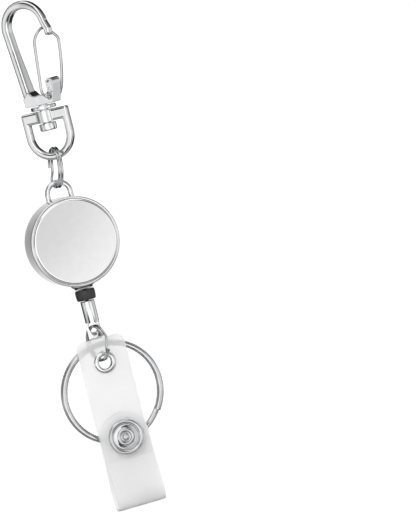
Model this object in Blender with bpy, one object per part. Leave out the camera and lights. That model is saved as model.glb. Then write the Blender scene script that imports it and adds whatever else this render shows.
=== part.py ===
"""Retractable badge reel: a swivel snap hook, a sprung cord reel, a pull rod, a key ring and a vinyl strap.

Lengths are in millimetres and are scaled to metres where the meshes are made. The origin is the
inside top of the hook, where the reel hangs. +Z is up, and -Y is the front of the reel.
"""

from math import atan2, cos, pi, radians, sin, sqrt, tau

import bmesh
import bpy
from mathutils import Matrix, Vector

MM = 0.001
GAP = 0.3  # running and assembly clearance between neighbouring pieces

# Snap hook. H runs across the hook, Z up; its depth is symmetric about its own plane.
HOOK_TURN = radians(-48.5)
HOOK_X = 1.8  # the swivel's axis, right of the reel's axis
HOOK_BAR = 3.0
HOOK_DEPTH = 3.4  # at the head; the arm deepens towards the base
BASE_DEPTH = 5.0
HEAD_CENTRE = (0.9, -6.4)
HEAD_RADIUS = HOOK_BAR / 2 - HEAD_CENTRE[1]  # to the middle of the bar, so that its inside top is at 0
ARM_TOP = (-6.35, -13.5)
ARM_FOOT = (-4.2, -31.6)
NOSE_BEND = (9.85, -8.6)
NOSE_TIP = (9.55, -10.7)
NOSE_TAPER = (0.75, 0.7)  # how much narrower and shallower the bar is at the end of the head
HOOK_FLOOR = -30.3
HOOK_BOTTOM = -33.6
BASE_LEFT, BASE_RIGHT = -5.7, 6.2
STUB = (6.5, 1.45)  # middle and half width of the gate's stub
STUB_TOP = -25.0
RECESS = (6.4, -28.0, 0.9, 2.2, 0.7)  # centre, half width, half height and depth of the stub's hollows
GATE_PIVOT = (5.4, -31.4)
GATE_WIRE = 1.0
GATE_SPREAD = 3.9  # from the hook's plane to each strand
FOOT_HOLE = 1.9

# Swivel
SHANK = 3.0
RIVET_TOP = -31.8
RIVET_HEAD = (6.1, -40.1, -42.8)
WASHER = (9.0, -33.9, -35.3)
BOW_TURN = radians(-38.5)
BOW_TOP, BOW_BAR_BOTTOM, BOW_BOTTOM = -35.6, -39.8, -53.2
BOW_WIDTH = 17.8
BOW_BAR = 2.45
BOW_DEPTH = 2.8
BOW_BOSS = 6.4

# Split rings: outer diameter, wire across, wire along the axis
UPPER_RING = (14.7, 0.95, 0.95)
UPPER_TOP = (2.0, 0.0, -49.0)
UPPER_FOOT = (-0.15, 1.5, -62.75)
LOWER_RING = (13.2, 0.9, 0.85)
LOWER_CENTRE = (0.0, 0.0, -118.6)
LOWER_TURN = radians(-16.5)
KEY_RING = (36.7, 2.1, 1.5)
KEY_CENTRE = (1.6, 3.4, -136.75)
RING_STEP = radians(40)  # the stretch in which the wire steps from one coil to the next
COIL_GAP = 0.1

# Reel case, turned about Y
CASE_Z = -82.1
CUP_RADIUS = 15.75
CUP_BACK, CUP_RIM = 6.0, -5.3  # the back case's flat back and its front rim
SHEET = 0.6
COVER_FACE, COVER_EDGE = -6.2, -1.5  # the front cover's face and the back edge of its skirt
COVER_RADIUS = CUP_RADIUS - SHEET - GAP
EDGE_ROUND = 1.0
BAIL_WIRE = 1.75
BAIL_WIDTH = 10.0
BAIL_TOP = -60.0
BAIL_Y = 1.5
BAIL_END = -69.0
NOZZLE_TOP, NOZZLE_BOTTOM = -96.9, -98.9
NOZZLE_WIDE, NOZZLE_NARROW = 8.7, 6.6
NECK = 4.0
NECK_TOP = -95.2

# Spool and spring, turned about Y through the case's centre
POST = 3.8
BORE = POST + 2 * GAP
DRUM = 17.6
FLANGE = 26.0
FLANGE_FRONT = (-3.6, -3.0)
COVER_FLANGE = (2.5, 3.1)
WOUND = (18.2, 21.8)
CORD = 0.9
SPRING_TURNS = 5
SPRING_STRIP = 0.3
SPRING_SPAN = (2.75, 7.6)
SPRING_SIDES = (-2.4, 1.7)

# Stopper and rod
STOPPER = (7.1, -99.3, -103.0)
ROD = 5.0
ROD_TOP, ROD_BOTTOM = -103.3, -117.3
ROD_BORE = 2.9
ROD_CUT = -110.9
TONGUE_FRONT = 0.4
TONGUE_HOLE = 3.3
TONGUE_HOLE_Z = -112.9
FERRULE = (2.2, -104.6, -106.9)
TAIL = (-99.2, -107.3)

# Strap and press stud
STRAP_WIDTH = 17.4
STRAP_SHEET = 0.55
STRAP_X = 0.6
STRAP_TOP = -117.0
STRAP_Y = -0.8  # middle of the back leg's sheet
FLAP_Y = -3.2
STRAP_CORNER = 2.8
EYELET_Z = -125.6
EYELET = (8.0, 4.5)
SNAP_Z = -152.3
SNAP = 12.6
FLAP_TOP = SNAP_Z + STRAP_WIDTH / 2
FOLD = (-2.2, -177.0)  # y and z of the fold, where the flap hinges
STRAIGHT_END = -160.0

CHROME = ("chrome", (0.86, 0.87, 0.88), 0.08, 1.0)
FACE = ("satin_chrome", (0.82, 0.82, 0.83), 0.22, 1.0)
STEEL = ("spring_steel", (0.45, 0.46, 0.48), 0.35, 1.0)
RUBBER = ("black_rubber", (0.02, 0.02, 0.02), 0.55, 0.0)
VINYL = ("clear_vinyl", (0.93, 0.94, 0.95), 0.3, 0.0)
MOULDED = ("spool_plastic", (0.08, 0.08, 0.09), 0.5, 0.0)
NYLON = ("nylon_cord", (0.03, 0.03, 0.03), 0.7, 0.0)


def material(finish):
    """The Principled material of a finish, made once."""
    name, colour, roughness, metallic = finish
    found = bpy.data.materials.get(name)
    if found:
        return found
    made = bpy.data.materials.new(name)
    made.use_nodes = True
    shader = made.node_tree.nodes["Principled BSDF"]
    shader.inputs["Base Color"].default_value = (*colour, 1.0)
    shader.inputs["Roughness"].default_value = roughness
    shader.inputs["Metallic"].default_value = metallic
    return made


def frame(name, place, parent=None):
    """An empty on a joint's axis, at a world position in millimetres."""
    empty = bpy.data.objects.new(name, None)
    bpy.context.scene.collection.objects.link(empty)
    world = Vector(place) * MM
    empty.parent = parent
    empty["world"] = world
    empty.location = world - Vector(parent["world"]) if parent else world
    return empty


def body(name, bm, finish, parent, at=(0, 0, 0), turn=0.0, smooth=35):
    """A mesh object from a bmesh in millimetres, placed at a world position and turned about Z."""
    bmesh.ops.scale(bm, vec=(MM, MM, MM), verts=bm.verts)
    bmesh.ops.recalc_face_normals(bm, faces=bm.faces)
    mesh = bpy.data.meshes.new(name)
    bm.to_mesh(mesh)
    bm.free()
    mesh.shade_smooth()
    mesh.set_sharp_from_angle(angle=radians(smooth))
    made = bpy.data.objects.new(name, mesh)
    bpy.context.scene.collection.objects.link(made)
    mesh.materials.append(material(finish))
    made.parent = parent
    made.location = Vector(at) * MM - Vector(parent["world"])
    made.rotation_euler.z = turn
    return made


def boolean(target, tool, operation):
    """A Boolean on the target with a hidden tool, which moves with the target's parent."""
    tool.hide_render = True
    tool.display_type = "WIRE"
    modifier = target.modifiers.new(tool.name, "BOOLEAN")
    modifier.operation = operation
    modifier.object = tool


def turned(profile, steps=32, axis="Z"):
    """A closed solid of revolution from a closed outline of (radius, height) points."""
    bm = bmesh.new()
    ring = [bm.verts.new((r, 0, h)) for r, h in profile]
    edges = [bm.edges.new(pair) for pair in zip(ring, ring[1:] + ring[:1])]
    bmesh.ops.spin(
        bm, geom=ring + edges, cent=(0, 0, 0), axis=(0, 0, 1), angle=tau, steps=steps, use_merge=True
    )
    bmesh.ops.remove_doubles(bm, verts=bm.verts, dist=1e-4)
    on_axis = [e for e in bm.edges if not e.link_faces]
    bmesh.ops.delete(bm, geom=on_axis, context="EDGES")
    if axis == "Y":
        bmesh.ops.rotate(bm, verts=bm.verts, cent=(0, 0, 0), matrix=Matrix.Rotation(-pi / 2, 3, "X"))
    return bm


def skin(bm, rings):
    """Faces between rings of vertices that have the same count, and over both ends."""
    count = len(rings[0])
    for here, there in zip(rings, rings[1:]):
        for k in range(count):
            n = (k + 1) % count
            bm.faces.new((here[k], here[n], there[n], there[k]))
    bm.faces.new(rings[0][::-1])
    bm.faces.new(rings[-1])


def tube(points, radius, sides=6, flatten=1.0, flat_axis=None):
    """A round wire along a list of points, or an oval one, with flat ends."""
    bm = bmesh.new()
    path = [Vector(p) for p in points]
    last = len(path) - 1
    tangents = [(path[min(i + 1, last)] - path[max(i - 1, 0)]).normalized() for i in range(last + 1)]
    across = Vector(flat_axis) if flat_axis else tangents[0].orthogonal()
    rings = []
    for point, tangent in zip(path, tangents):
        across = (across - tangent * across.dot(tangent)).normalized()
        beside = tangent.cross(across)
        rings.append(
            [
                bm.verts.new(point + across * (radius * flatten * cos(a)) + beside * (radius * sin(a)))
                for a in (tau * (k + 0.5) / sides for k in range(sides))
            ]
        )
    skin(bm, rings)
    return bm


def extruded(outline, low, high):
    """A prism from an (x, z) outline, between two y values."""
    bm = bmesh.new()
    face = bm.faces.new([bm.verts.new((x, low, z)) for x, z in outline])
    grown = bmesh.ops.extrude_face_region(bm, geom=[face])
    moved = [v for v in grown["geom"] if isinstance(v, bmesh.types.BMVert)]
    bmesh.ops.translate(bm, verts=moved, vec=(0, high - low, 0))
    return bm


def arc(centre, radius, start, end, steps):
    """Points on an arc, in degrees, as (x, z)."""
    turns = [radians(start + (end - start) * i / steps) for i in range(steps + 1)]
    return [(centre[0] + radius * cos(a), centre[1] + radius * sin(a)) for a in turns]


def collar(inner, outer, top, bottom, upper, lower):
    """The (radius, height) outline of a ring with a chamfer on each of its two outer edges."""
    rim = [(outer - upper, top), (outer, top - upper), (outer, bottom + lower), (outer - lower, bottom)]
    return [(inner, top)] + rim + [(inner, bottom)]


def eased(t):
    """A smooth step from 0 to 1."""
    t = min(max(t, 0.0), 1.0)
    return t * t * (3 - 2 * t)


def smooth_route(points, steps):
    """Points on a Catmull-Rom curve through the given points."""
    given = [Vector(p) for p in points]
    ends = [2 * given[0] - given[1]] + given + [2 * given[-1] - given[-2]]
    route = []
    for a, b, c, d in zip(ends, ends[1:], ends[2:], ends[3:]):
        for k in range(steps):
            t = k / steps
            bend = (2 * a - 5 * b + 4 * c - d) * t**2 + (3 * b - a - 3 * c + d) * t**3
            route.append(0.5 * (2 * b + (c - a) * t + bend))
    return route + [given[-1]]


def split_ring(size, per_turn, sides=6):
    """A split ring of two coils around the local X axis; the wire steps across at the top."""
    outer, radial, axial = size
    middle = (outer - radial) / 2
    pitch = axial + COIL_GAP
    start, end = RING_STEP / 2 + 0.06, 2 * tau - RING_STEP / 2 - 0.06
    count = round(per_turn * (end - start) / tau)
    points = []
    for i in range(count + 1):
        angle = start + (end - start) * i / count
        side = eased((angle - tau + RING_STEP / 2) / RING_STEP) - 0.5
        points.append((pitch * side, middle * sin(angle), middle * cos(angle)))
    return tube(points, radial / 2, sides, axial / radial, (1, 0, 0))


def hook_bar():
    """The hook's arm, head and nose: an oblong bar swept round the head and tapered to the nose."""
    stations = [(*ARM_FOOT, HOOK_BAR, BASE_DEPTH), (*ARM_TOP, HOOK_BAR, HOOK_DEPTH)]
    thinner, shallower = NOSE_TAPER
    for x, z in arc(HEAD_CENTRE, HEAD_RADIUS, 184, 4, 18):
        reach = eased((x - HEAD_CENTRE[0]) / HEAD_RADIUS)
        stations.append((x, z, HOOK_BAR - thinner * reach, HOOK_DEPTH - shallower * reach))
    stations += [(*NOSE_BEND, *stations[-1][2:]), (*NOSE_TIP, 1.85, 2.3)]
    bm = bmesh.new()
    rings = []
    for i, (x, z, wide, deep) in enumerate(stations):
        before, after = stations[max(i - 1, 0)], stations[min(i + 1, len(stations) - 1)]
        along = Vector((after[0] - before[0], after[1] - before[1])).normalized()
        out = Vector((-along.y, along.x))
        chamfer = 0.22 * min(wide, deep)
        corners = []
        for su, sv in ((1, 1), (-1, 1), (-1, -1), (1, -1)):
            pair = [(wide / 2, deep / 2 - chamfer), (wide / 2 - chamfer, deep / 2)]
            if su * sv < 0:
                pair.reverse()
            corners += [(su * u, sv * v) for u, v in pair]
        rings.append([bm.verts.new((x + out.x * u, v, z + out.y * u)) for u, v in corners])
    skin(bm, rings)
    return bm


def hook_base():
    """The hook's base with its gate stub, whose top is round."""
    floor = arc((-0.6, HOOK_FLOOR + 2.2), 2.2, 220, 290, 5)
    middle, half = STUB
    outline = [(BASE_LEFT, HOOK_BOTTOM), (BASE_RIGHT, HOOK_BOTTOM), (middle + half, -27.2)]
    outline += arc((middle, STUB_TOP - half), half, 0, 180, 6)
    outline += [(middle - half, -29.4), (3.4, HOOK_FLOOR)] + floor[::-1]
    outline += [(-3.2, -28.4), (BASE_LEFT - 0.2, -30.6)]
    return extruded(outline, -BASE_DEPTH / 2, BASE_DEPTH / 2)


def hook(root):
    """The casting: the bar and the base, with a hollow in each side of the stub and the pivots' holes."""
    place = dict(parent=root, at=(HOOK_X, 0, 0), turn=HOOK_TURN)
    base = body("hook_body", hook_base(), CHROME, **place)
    boolean(base, body("hook_bar", hook_bar(), CHROME, **place), "UNION")
    shank = SHANK / 2 + GAP
    hole = turned([(0, RIVET_TOP + GAP), (shank, RIVET_TOP + GAP), (shank, -35), (0, -35)], 24)
    boolean(base, body("rivet_hole", hole, CHROME, **place), "DIFFERENCE")
    pivot_x, pivot_z = GATE_PIVOT
    x, z, wide, high, deep = RECESS
    oval = [(x + wide * cos(a), z + high * sin(a)) for a in (tau * k / 16 for k in range(16))]
    for side in (-1, 1):
        low, high_y = sorted((side * (BASE_DEPTH / 2 - deep), side * BASE_DEPTH))
        boolean(base, body(f"recess_{side}", extruded(oval, low, high_y), CHROME, **place), "DIFFERENCE")
        low, high_y = sorted((side * 1.8, side * 4.0))
        rim = [(FOOT_HOLE / 2, low), (0, low), (0, high_y), (FOOT_HOLE / 2, high_y)]
        drill = turned(rim, 16, "Y")
        bmesh.ops.translate(drill, verts=drill.verts, vec=(pivot_x, 0, pivot_z))
        boolean(base, body(f"foot_hole_{side}", drill, CHROME, **place), "DIFFERENCE")


def gate(root):
    """The wire gate: two strands from the pivot, joined by an arch that rests inside the nose."""
    x, z = GATE_PIVOT
    pivot = Vector((HOOK_X, 0, 0)) + Matrix.Rotation(HOOK_TURN, 3, "Z") @ Vector((x, 0, z))
    joint = frame("gate_pivot", pivot, root)
    s = GATE_SPREAD
    route = [(x, -2.1, z), (x, -s + 0.5, z), (x - 0.4, -s, z + 0.5), (3.7, -s, -29.2), (4.2, -s, -24.0)]
    route += [(5.0, -s, -17.5), (5.7, -s, -12.6), (6.3, -3.1, -10.2), (7.2, -1.7, -8.5), (7.75, 0.0, -7.9)]
    route += [(8.1, 1.7, -8.6), (9.2, 3.1, -10.3), (10.2, s, -12.2), (10.3, s, -14.2), (9.3, s, -20.5)]
    route += [(7.6, s, -27.0), (x + 0.7, s, z + 1.1), (x, s - 0.4, z), (x, 2.1, z)]
    bm = tube(smooth_route(route, 2), GATE_WIRE / 2)
    body("gate_wire", bm, CHROME, joint, (HOOK_X, 0, 0), HOOK_TURN)


def swivel(root):
    """The rivet and its washer, and the D-shaped bow that turns on it."""
    wide, head_top, head_bottom = RIVET_HEAD
    r, h = SHANK / 2, wide / 2
    rivet = [(0, RIVET_TOP), (r, RIVET_TOP), (r, head_top), (h, head_top), (h, head_bottom + 0.4)]
    rivet += [(h - 0.4, head_bottom), (0, head_bottom)]
    body("swivel_rivet", turned(rivet, 20), CHROME, root, (HOOK_X, 0, 0))
    wide, top, bottom = WASHER
    ring = collar(r + GAP, wide / 2, top, bottom, 0.3, 0.3)
    body("swivel_washer", turned(ring, 24), CHROME, root, (HOOK_X, 0, 0))

    joint = frame("bow_swivel", (HOOK_X, 0, BOW_TOP), root)
    half = BOW_WIDTH / 2
    curve_z = BOW_BOTTOM + half
    outer_line = [(half, BOW_TOP)] + arc((0, curve_z), half, 0, -180, 16) + [(-half, BOW_TOP)]
    inner = half - BOW_BAR
    inner_line = arc((0, curve_z), inner, 0, -180, 16)
    inner_line = [(inner, BOW_BAR_BOTTOM)] + inner_line + [(-inner, BOW_BAR_BOTTOM)]
    place = dict(parent=joint, at=(HOOK_X, 0, 0), turn=BOW_TURN)
    bow = body("swivel_bow", extruded(outer_line, -BOW_DEPTH / 2, BOW_DEPTH / 2), CHROME, **place)
    window = extruded(inner_line, -BOW_DEPTH, BOW_DEPTH)
    boolean(bow, body("bow_window", window, CHROME, **place), "DIFFERENCE")
    bevel = bow.modifiers.new("rounded", "BEVEL")
    bevel.width = 0.55 * MM
    bevel.segments = 2
    bevel.angle_limit = radians(50)
    reach = BOW_BOSS / 2
    boss = turned([(0, BOW_TOP), (reach, BOW_TOP), (reach, BOW_BAR_BOTTOM), (0, BOW_BAR_BOTTOM)], 20)
    boolean(bow, body("bow_boss", boss, CHROME, **place), "UNION")
    hole = turned([(0, -33), (r + GAP, -33), (r + GAP, -42), (0, -42)], 24)
    boolean(bow, body("bow_hole", hole, CHROME, **place), "DIFFERENCE")
    return joint


def upper_ring(bow):
    """The split ring that hangs in the bow and carries the bail. It leans from one to the other."""
    top, foot = Vector(UPPER_TOP), Vector(UPPER_FOOT)
    down = (foot - top).normalized()
    normal = Vector((1, 0, 0))
    normal = (normal - down * normal.dot(down)).normalized()
    beside = -down.cross(normal)
    tilt = Matrix((normal, -beside, -down)).transposed()
    bm = split_ring(UPPER_RING, 20)
    bmesh.ops.rotate(bm, verts=bm.verts, cent=(0, 0, 0), matrix=tilt @ Matrix.Rotation(2.1, 3, "X"))
    joint = frame("upper_ring_swing", (HOOK_X, 0, BOW_BOTTOM + BOW_BAR / 2), bow)
    body("upper_split_ring", bm, CHROME, joint, (top + foot) / 2)
    return frame("reel_sway", foot, joint)


def shell(name, outline, reel, holes):
    """A pressed shell of the case, turned about Y, with its holes."""
    made = body(name, turned(outline, 44, "Y"), FACE, reel, (0, 0, CASE_Z))
    for tool in holes:
        boolean(made, tool, "DIFFERENCE")


def case(reel):
    """The cup-shaped back case and the front cover in it, with holes for the bail and the nozzle."""
    holes = []
    leg = (BAIL_WIDTH - BAIL_WIRE) / 2
    clear = BAIL_WIRE / 2 + GAP
    for side in (-1, 1):
        drill = turned([(0, 2), (clear, 2), (clear, -5), (0, -5)], 20)
        holes.append(body(f"leg_hole_{side}", drill, FACE, reel, (side * leg, BAIL_Y, -65.5)))
    clear = NECK / 2 + GAP
    drill = turned([(0, 4), (clear, 4), (clear, -4), (0, -4)], 24)
    holes.append(body("neck_hole", drill, FACE, reel, (0, 0, CASE_Z - CUP_RADIUS)))

    outer, inner, floor = CUP_RADIUS, CUP_RADIUS - SHEET, CUP_BACK - SHEET
    cup = [(0, CUP_BACK)] + arc((outer - EDGE_ROUND, CUP_BACK - EDGE_ROUND), EDGE_ROUND, 90, 0, 4)
    cup += [(outer, CUP_RIM + 0.3), (outer - 0.3, CUP_RIM), (inner, CUP_RIM)]
    cup += [(inner, floor - EDGE_ROUND / 2), (inner - EDGE_ROUND / 2, floor), (0, floor)]
    shell("back_case", cup, reel, holes)
    outer, inner, face = COVER_RADIUS, COVER_RADIUS - SHEET, -COVER_FACE
    lid = [(0, face)] + arc((outer - EDGE_ROUND, face - EDGE_ROUND), EDGE_ROUND, 90, 0, 4)
    lid += [(outer, -COVER_EDGE), (inner, -COVER_EDGE), (inner, face - SHEET - EDGE_ROUND / 2)]
    lid += [(inner - EDGE_ROUND / 2, face - SHEET), (0, face - SHEET)]
    shell("front_cover", [(r, -y) for r, y in lid], reel, holes[2:])


def bail(reel):
    """The wire loop on top of the case. Its legs go through the wall."""
    radius = (BAIL_WIDTH - BAIL_WIRE) / 2
    centre = (0, BAIL_TOP - BAIL_WIRE / 2 - radius)
    line = [(radius, BAIL_END), (radius, (BAIL_END + centre[1]) / 2)] + arc(centre, radius, 0, 180, 10)
    line += [(-radius, (BAIL_END + centre[1]) / 2), (-radius, BAIL_END)]
    body("bail", tube([(x, BAIL_Y, z) for x, z in line], BAIL_WIRE / 2, 8), CHROME, reel)


def nozzle(reel):
    """The bell-shaped cord guide under the case, saddled to its wall, with a neck through it."""
    bore = CORD / 2 + 3 * GAP
    wide, narrow, neck = NOZZLE_WIDE / 2, NOZZLE_NARROW / 2, NECK / 2
    bell = [(bore, NECK_TOP), (neck, NECK_TOP), (neck, NOZZLE_TOP), (wide, NOZZLE_TOP)]
    bell += [(wide, NOZZLE_TOP - 0.9), (narrow, NOZZLE_BOTTOM + 0.5), (narrow, NOZZLE_BOTTOM + 0.2)]
    bell += [(narrow - 0.3, NOZZLE_BOTTOM), (bore, NOZZLE_BOTTOM)]
    made = body("cord_nozzle", turned(bell, 24), CHROME, reel)
    saddle_r, far = CUP_RADIUS + GAP, 8
    inner = CUP_RADIUS - SHEET - 3 * GAP
    ring = turned([(inner, far), (saddle_r, far), (saddle_r, -far), (inner, -far)], 44, "Y")
    saddle = body("nozzle_saddle", ring, CHROME, reel, (0, 0, CASE_Z))
    core = turned([(0, 0), (neck, 0), (neck, -8), (0, -8)], 24)
    boolean(saddle, body("saddle_core", core, CHROME, reel, (0, 0, NECK_TOP + 2)), "DIFFERENCE")
    boolean(made, saddle, "DIFFERENCE")


def spool_parts(reel):
    """The fixed post and the spiral spring, and the drum, its second flange and the wound cord."""
    half = POST / 2
    low, high = COVER_FACE + SHEET + GAP, CUP_BACK - SHEET - GAP
    line = [(0, high), (half, high), (half, low), (0, low)]
    post = body("centre_post", turned(line, 24, "Y"), STEEL, reel, (0, 0, CASE_Z))
    slot = extruded([(-0.5, -0.2), (0.5, -0.2), (0.5, 3), (-0.5, 3)], SPRING_SIDES[0] - GAP, CUP_BACK)
    boolean(post, body("post_slot", slot, STEEL, reel, (0, 0, CASE_Z)), "DIFFERENCE")

    low, high = SPRING_SPAN
    count = SPRING_TURNS * 16
    spiral = [(0, 0.5), (0, 1.8)]
    for i in range(count + 1):
        angle = pi / 2 + tau * SPRING_TURNS * i / count
        r = low + (high - low) * i / count
        spiral.append((r * cos(angle), r * sin(angle)))
    body("power_spring", strip(spiral, SPRING_STRIP, *SPRING_SIDES), STEEL, reel, (0, 0, CASE_Z))

    joint = frame("spool_spin", (0, 0, CASE_Z), reel)
    drum, bore, flange = DRUM / 2, BORE / 2, FLANGE / 2
    front, web = FLANGE_FRONT
    back = COVER_FLANGE[0] - GAP
    outline = [(bore, front), (flange, front), (flange, web), (drum, web), (drum, back), (drum - 0.8, back)]
    outline += [(drum - 0.8, web), (bore, web)]
    body("spool", turned(outline, 32, "Y"), MOULDED, joint, (0, 0, CASE_Z))
    near, far = COVER_FLANGE
    plate = [(bore, near), (flange, near), (flange, far), (bore, far)]
    body("spool_cover", turned(plate, 32, "Y"), MOULDED, joint, (0, 0, CASE_Z))
    inner, outer = WOUND[0] / 2, WOUND[1] / 2
    rows = 5
    start, pitch = web + GAP, (back - web - GAP) / rows
    wound = [(inner, start), (inner, start + rows * pitch)]
    for row in reversed(range(rows)):
        middle = start + (row + 0.5) * pitch
        for y, z in arc((0, 0), pitch / 2, 90, -90, 2)[0 if row == rows - 1 else 1:]:
            wound.append((outer - CORD / 2 + y, middle + z))
    body("cord_winding", turned(wound, 24, "Y"), NYLON, joint, (0, 0, CASE_Z))


def strip(line, thick, low, high):
    """A flat strip that stands on its edge along an (x, z) line, between two y values."""
    path = [Vector(p) for p in line]
    last = len(path) - 1
    sides = ([], [])
    for i, point in enumerate(path):
        along = (path[min(i + 1, last)] - path[max(i - 1, 0)]).normalized()
        out = Vector((-along.y, along.x)) * thick / 2
        sides[0].append(tuple(point + out))
        sides[1].append(tuple(point - out))
    bm = bmesh.new()
    rings = []
    for a, b in zip(*sides):
        rings.append([bm.verts.new((x, y, z)) for (x, z), y in ((a, low), (a, high), (b, high), (b, low))])
    skin(bm, rings)
    return bm


def cord_and_rod(reel):
    """The cord from the drum to the nozzle, then the cord's end, the stopper and the rod."""
    reach = WOUND[1] / 2 + CORD / 2 + GAP
    exit_drop = CASE_Z - NECK_TOP - 0.4
    lean = atan2(sqrt(exit_drop**2 - reach**2), reach)
    touch = (reach * sin(lean), 0, CASE_Z - reach * cos(lean))
    bend = Vector((0, 0, CASE_Z - exit_drop))
    start = Vector(touch)
    route = [start, start.lerp(bend, 0.45), start.lerp(bend, 0.88), bend + Vector((0.05, 0, -0.9))]
    route += [(0, 0, -97.4), (0, 0, NOZZLE_BOTTOM)]
    middle_y = (FLANGE_FRONT[1] + COVER_FLANGE[0]) / 2
    route = [(x, y + middle_y * eased((z + 96) / 3), z) for x, y, z in map(tuple, route)]
    body("cord_lead", tube(smooth_route(route, 3), CORD / 2), NYLON, reel)

    pull = frame("cord_pull", (0, 0, NOZZLE_BOTTOM), reel)
    top, bottom = TAIL
    body("cord_tail", tube([(0, 0, top), (0, 0, (top + bottom) / 2), (0, 0, bottom)], CORD / 2), NYLON, pull)
    wide, top, bottom = FERRULE
    inner = CORD / 2 + 0.15
    sleeve = [(inner, top), (wide / 2, top), (wide / 2, bottom), (inner, bottom)]
    body("cord_ferrule", turned(sleeve, 20), STEEL, pull)

    rod = frame("rod_twist", (0, 0, ROD_TOP), pull)
    wide, top, bottom = STOPPER
    inner = CORD / 2 + GAP
    body("stopper", turned(collar(inner, wide / 2, top, bottom, 0.4, 0.2), 24), RUBBER, rod)
    outer, bore = ROD / 2, ROD_BORE / 2
    line = [(inner, ROD_TOP), (outer, ROD_TOP), (outer, ROD_BOTTOM + 0.4), (outer - 0.4, ROD_BOTTOM)]
    line += [(0, ROD_BOTTOM), (0, ROD_CUT - 0.7), (bore, ROD_CUT - 0.7), (bore, FERRULE[1] + GAP)]
    line.append((inner, FERRULE[1] + GAP))
    made = body("pull_rod", turned(line, 24), CHROME, rod)
    cut = extruded([(-4, ROD_CUT), (-4, ROD_BOTTOM - 2), (4, ROD_BOTTOM - 2), (4, ROD_CUT)], -4, TONGUE_FRONT)
    boolean(made, body("rod_cut", cut, CHROME, rod), "DIFFERENCE")
    reach = TONGUE_HOLE / 2
    drill = turned([(0, -4), (reach, -4), (reach, 4), (0, 4)], 24, "Y")
    boolean(made, body("tongue_hole", drill, CHROME, rod, (0, 0, TONGUE_HOLE_Z)), "DIFFERENCE")
    return rod


def lower_rings(rod):
    """The split ring through the rod's tongue, and the key ring that hangs on its back half."""
    centre = Vector(LOWER_CENTRE)
    joint = frame("lower_ring_sway", (0, 0, TONGUE_HOLE_Z), rod)
    bm = split_ring(LOWER_RING, 20)
    bmesh.ops.rotate(bm, verts=bm.verts, cent=(0, 0, 0), matrix=Matrix.Rotation(pi / 2, 3, "X"))
    body("lower_split_ring", bm, CHROME, joint, centre, -LOWER_TURN)
    hang = (-1.2, KEY_CENTRE[1], KEY_CENTRE[2] + KEY_RING[0] / 2 - KEY_RING[1] - LOWER_RING[1])
    sway = frame("key_ring_sway", hang, joint)
    bm = split_ring(KEY_RING, 30)
    bmesh.ops.rotate(bm, verts=bm.verts, cent=(0, 0, 0), matrix=Matrix.Rotation(radians(150), 3, "X"))
    body("key_ring", bm, CHROME, sway, KEY_CENTRE, pi / 2)
    return joint


def sheet(line, wide, thick, corner=0.0):
    """A strap of even width along a (y, z) line. Its first end has round corners of a radius."""
    path = [Vector(p) for p in line]
    last = len(path) - 1
    bm = bmesh.new()
    rings = []
    start = path[0]
    for i, point in enumerate(path):
        along = (path[min(i + 1, last)] - path[max(i - 1, 0)]).normalized()
        out = Vector((-along.y, along.x)) * thick / 2
        inset = max(corner - (point - start).length, 0.0)
        half = wide / 2 - (corner - sqrt(max(corner**2 - inset**2, 0.0)))
        half = max(half, 0.6)
        corners = ((-half, point + out), (half, point + out), (half, point - out), (-half, point - out))
        rings.append([bm.verts.new((x, p.x, p.y)) for x, p in corners])
    skin(bm, rings)
    return bm


def leg_line(y, top, side, corner):
    """The (y, z) line of a strap leg: straight past the snap, then bowed out to the fold."""
    steps = 8
    line = [(y, top - corner * (1 - cos(pi / 2 * i / steps))) for i in range(steps + 1)]
    line += [(y, STRAIGHT_END)]
    fold_y, fold_z = FOLD
    bulge = fold_y + side * 3.1
    given = [(y, STRAIGHT_END, 0), (y + (bulge - y) * 0.55, -166.0, 0), (bulge, -172.0, 0)]
    given += [(fold_y + side * 2.1, -175.9, 0), (fold_y + side * GAP, fold_z, 0)]
    return line + [(p.x, p.y) for p in smooth_route(given, 4)[1:]]


def fitting(name, parent, finish, outline, place):
    """A fitting turned about Y at a place, from (radius, y) points measured from the strap's frame."""
    return body(name, turned(outline, 20, "Y"), finish, parent, place)


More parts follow.
